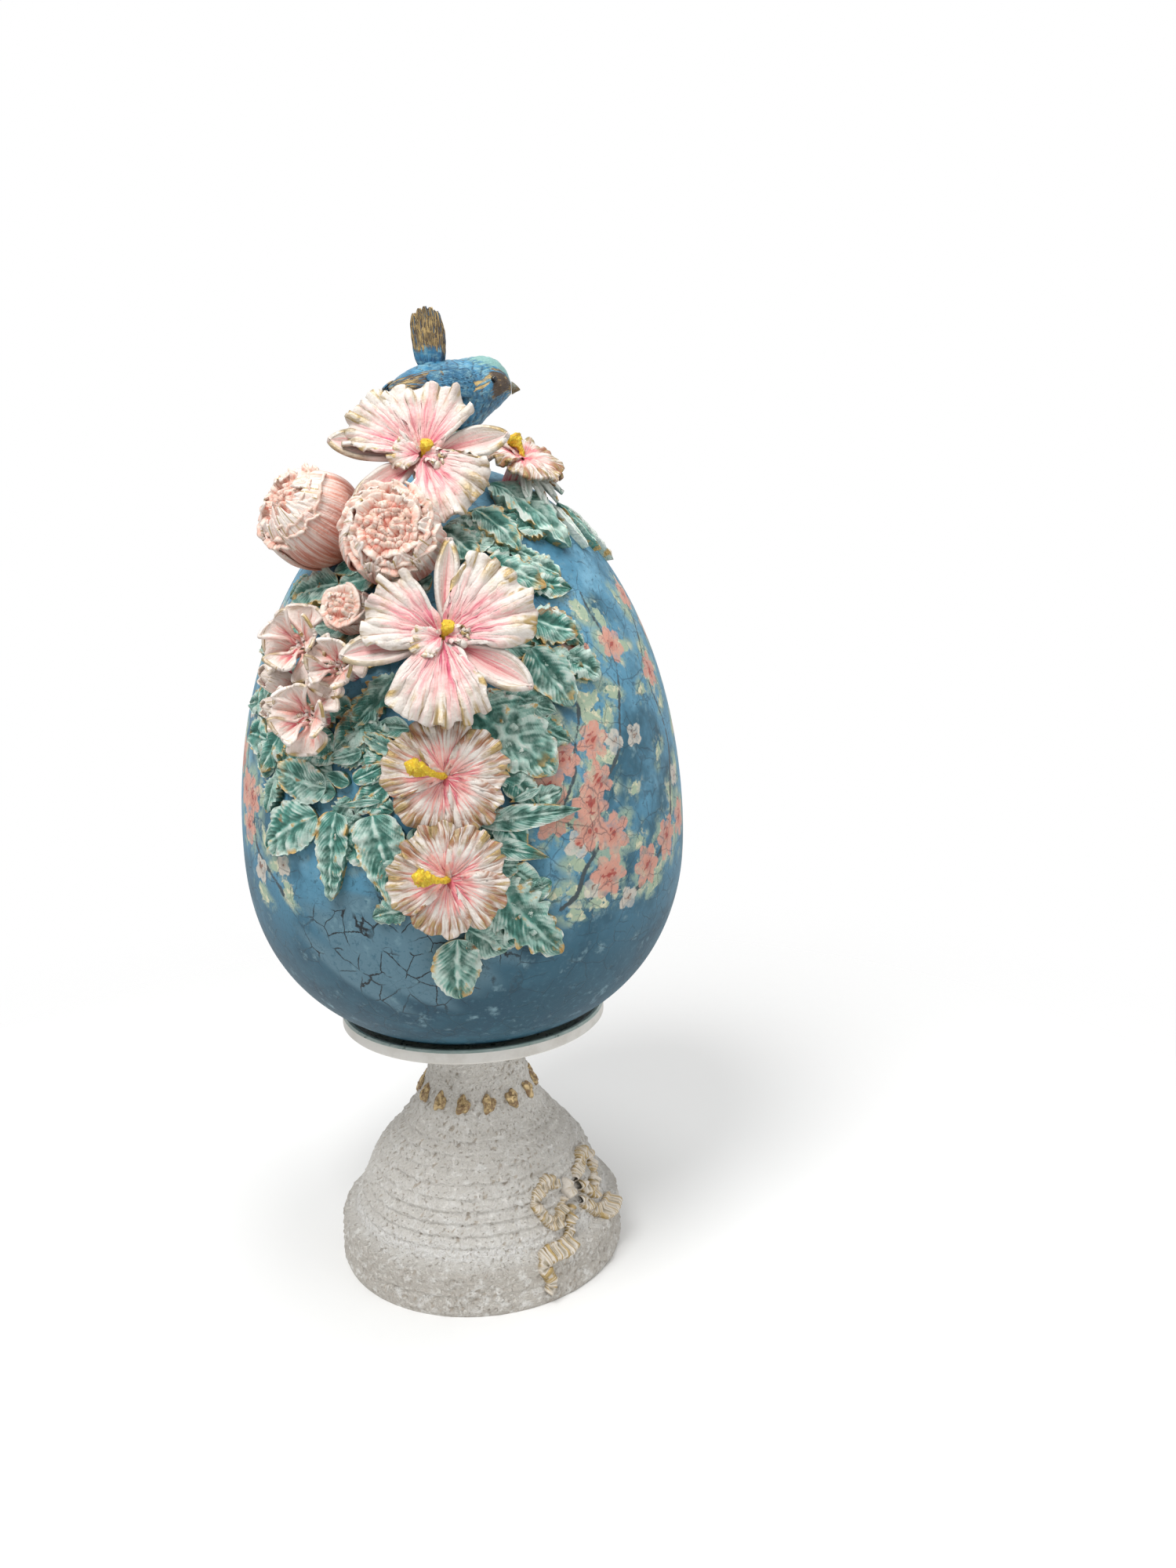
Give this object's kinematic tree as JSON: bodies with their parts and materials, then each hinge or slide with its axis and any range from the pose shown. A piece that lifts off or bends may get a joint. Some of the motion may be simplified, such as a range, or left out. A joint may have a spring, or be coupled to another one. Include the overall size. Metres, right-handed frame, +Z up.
{
  "type": "ceramic egg",
  "caption": "Egg ornament with moulded flowers, leaves and a perched bird, which stands in a saucer on a bell-shaped foot.",
  "frame": {"origin": "centre of the foot's flat underside", "axes": "+Z up along the axis of foot, saucer and egg; the flowers face -Y; +X to the viewer's right"},
  "size_m": [0.2, 0.2217, 0.4345],
  "materials": {
    "foot_stucco": "rough stucco wash over thrown ceramic, with pits and throwing ridges",
    "gold_wax": "gold wax over a low clay drop",
    "ribbon_white_gold": "white slip with gold wax on the pleats",
    "saucer_glaze": "dark green gloss glaze inside, bare white rim outside",
    "egg_painted": "blue paint with blossoms under a fine crackle varnish",
    "petal_white_pink": "white matt slip with pink streaks and gold-brushed edges",
    "petal_blush": "blush washes with gold-brushed edges",
    "peony_pink": "salmon washes over white slip, satin",
    "stamen_yellow": "yellow paint over a rough stamen",
    "leaf_green": "sea-green washes over white slip with gold-brushed veins",
    "leaf_white": "bare white slip with a pale green wash",
    "bird_blue": "blue paint with pale teal rubbed over it, satin varnish",
    "bird_bronze": "dark bronze paint with gold brushed on the ridges",
    "bird_eye": "black gloss bead"
  },
  "bodies": {
    "stand": {"pedestal_foot": "foot_stucco", "gilt_drops": "gold_wax", "ribbon_bow": "ribbon_white_gold", "saucer": "saucer_glaze"},
    "egg": {"egg_shell": "egg_painted", "top_orchid_sepals": "petal_white_pink", "top_orchid_petals": "petal_white_pink", "top_orchid_column": "stamen_yellow", "middle_orchid_sepals": "petal_white_pink", "middle_orchid_petals": "petal_white_pink", "middle_orchid_column": "stamen_yellow", "upper_hibiscus": "petal_white_pink", "upper_hibiscus_stamen": "stamen_yellow", "lower_hibiscus": "petal_white_pink", "lower_hibiscus_stamen": "stamen_yellow", "back_hibiscus": "petal_white_pink", "back_hibiscus_stamen": "stamen_yellow", "left_peony": "peony_pink", "centre_peony": "peony_pink", "rosebud": "peony_pink", "cluster_bloom_upper": "petal_blush", "cluster_bloom_right": "petal_blush", "cluster_bloom_lower": "petal_blush", "ball_bud": "peony_pink", "small_peony_bud": "peony_pink", "perch": "leaf_green", "bird_body": "bird_blue", "bird_eyes": "bird_eye", "bird_beak": "bird_bronze", "bird_wings": "bird_blue", "bird_tail": "bird_bronze", "leaf_dark_left": "leaf_green", "leaf_round_left": "leaf_green", "leaf_small_dark": "leaf_green", "leaf_fringed_left": "leaf_green", "leaf_small_mid": "leaf_green", "leaf_gilt": "leaf_green", "leaf_round_big": "leaf_green", "leaf_long_left": "leaf_green", "leaf_mid_left": "leaf_green", "leaf_big_left": "leaf_green", "leaf_narrow": "leaf_green", "leaf_heart": "leaf_green", "leaf_right_jagged": "leaf_green", "leaf_gilt_jagged": "leaf_green", "leaf_right_fan": "leaf_green", "leaf_white_narrow": "leaf_white", "leaf_green_right": "leaf_green", "leaf_outline_right": "leaf_green", "leaf_orchid_upper": "leaf_green", "leaf_orchid_lower": "leaf_green", "leaf_grape": "leaf_green", "leaf_long_right": "leaf_green", "leaf_low_right": "leaf_green", "leaf_fern_mid": "leaf_green", "leaf_bottom_right": "leaf_green", "leaf_bottom": "leaf_green"}
  },
  "joints": [
    {"name": "egg_lift", "type": "slide", "parent": "stand", "child": "egg", "axis": [0, 0, 1], "range_m": [0, 0.05]}
  ]
}
